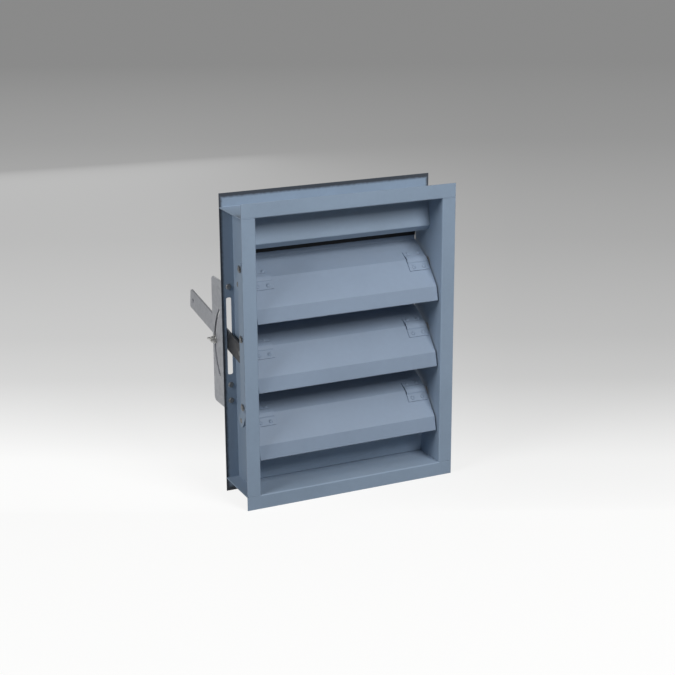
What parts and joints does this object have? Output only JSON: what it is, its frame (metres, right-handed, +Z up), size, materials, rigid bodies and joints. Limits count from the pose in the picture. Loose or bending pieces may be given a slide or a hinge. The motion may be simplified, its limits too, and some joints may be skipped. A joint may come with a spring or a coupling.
{
  "type": "adjustable blade louver",
  "caption": "Wall louver with a flanged steel channel frame, pivoting formed blades, a concealed tie bar and a locking hand lever at one jamb.",
  "frame": {"origin": "middle of the sill, on the plane of its lower flange edges, halfway through the frame's depth", "axes": "+X to the right seen from the front, +Y from front to rear, +Z up; the front faces -Y and the lever is at -X"},
  "size_m": [0.4106, 0.2949, 0.5397],
  "materials": {
    "frame_paint": "satin baked enamel, blue grey",
    "blade_paint": "satin baked enamel, blue grey",
    "galvanised_steel": "dull galvanised",
    "plated_hardware": "zinc plated",
    "bearing_nylon": "moulded nylon, grey",
    "edging_vinyl": "black push-on edging"
  },
  "bodies": {
    "frame": {"sill_channel": "frame_paint", "head_channel": "frame_paint", "left_jamb": "frame_paint", "right_jamb": "frame_paint", "head_stop": "frame_paint", "sill_stop": "frame_paint", "left_bearings": "bearing_nylon", "right_bearings": "bearing_nylon", "quadrant_plate": "galvanised_steel", "quadrant_screws": "plated_hardware", "quadrant_nuts": "plated_hardware"},
    "lower_blade": {"lower_blade": "blade_paint", "lower_blade_edging": "edging_vinyl", "lower_axle_clips": "blade_paint", "lower_axle_saddles": "blade_paint", "lower_blade_rivets": "blade_paint", "lower_left_axle": "plated_hardware", "lower_right_axle": "plated_hardware", "lower_retaining_ring": "plated_hardware", "lower_set_screw": "plated_hardware", "lower_crank_pin": "plated_hardware", "lower_pin_clip": "plated_hardware", "lower_crank_arm": "plated_hardware"},
    "middle_blade": {"middle_blade": "blade_paint", "middle_blade_edging": "edging_vinyl", "middle_axle_clips": "blade_paint", "middle_axle_saddles": "blade_paint", "middle_blade_rivets": "blade_paint", "middle_left_axle": "plated_hardware", "middle_right_axle": "plated_hardware", "middle_retaining_ring": "plated_hardware", "middle_set_screw": "plated_hardware", "middle_crank_pin": "plated_hardware", "middle_pin_clip": "plated_hardware", "control_lever": "galvanised_steel", "clamp_stud": "plated_hardware", "clamp_spacer": "plated_hardware", "clamp_washer": "plated_hardware"},
    "upper_blade": {"upper_blade": "blade_paint", "upper_blade_edging": "edging_vinyl", "upper_axle_clips": "blade_paint", "upper_axle_saddles": "blade_paint", "upper_blade_rivets": "blade_paint", "upper_left_axle": "plated_hardware", "upper_right_axle": "plated_hardware", "upper_retaining_ring": "plated_hardware", "upper_set_screw": "plated_hardware", "upper_crank_pin": "plated_hardware", "upper_pin_clip": "plated_hardware", "upper_crank_arm": "plated_hardware"},
    "tie_bar": {"tie_bar": "plated_hardware"},
    "wing_nut": {"wing_nut": "plated_hardware"}
  },
  "joints": [
    {"name": "middle_blade_pivot", "type": "hinge", "parent": "frame", "child": "middle_blade", "pos_m": [0, 0, 0.26987], "axis": [1, 0, 0], "range_deg": [-40, 40]},
    {"name": "lower_blade_pivot", "type": "hinge", "parent": "frame", "child": "lower_blade", "pos_m": [0, 0, 0.14764], "axis": [1, 0, 0], "range_deg": [-40, 40]},
    {"name": "upper_blade_pivot", "type": "hinge", "parent": "frame", "child": "upper_blade", "pos_m": [0, 0, 0.39211], "axis": [1, 0, 0], "range_deg": [-40, 40]},
    {"name": "tie_bar_pivot", "type": "hinge", "parent": "middle_blade", "child": "tie_bar", "pos_m": [-0.1913, -0.02075, 0.30183], "axis": [1, 0, 0], "range_deg": [-40, 40]},
    {"name": "wing_nut_spin", "type": "hinge", "parent": "middle_blade", "child": "wing_nut", "pos_m": [-0.205, 0.08795, 0.27295], "axis": [1, 0, 0], "continuous": true}
  ],
  "couplings": [
    {"joint": "lower_blade_pivot", "follows": "middle_blade_pivot", "ratio": 1},
    {"joint": "upper_blade_pivot", "follows": "middle_blade_pivot", "ratio": 1},
    {"joint": "tie_bar_pivot", "follows": "middle_blade_pivot", "ratio": -1}
  ]
}
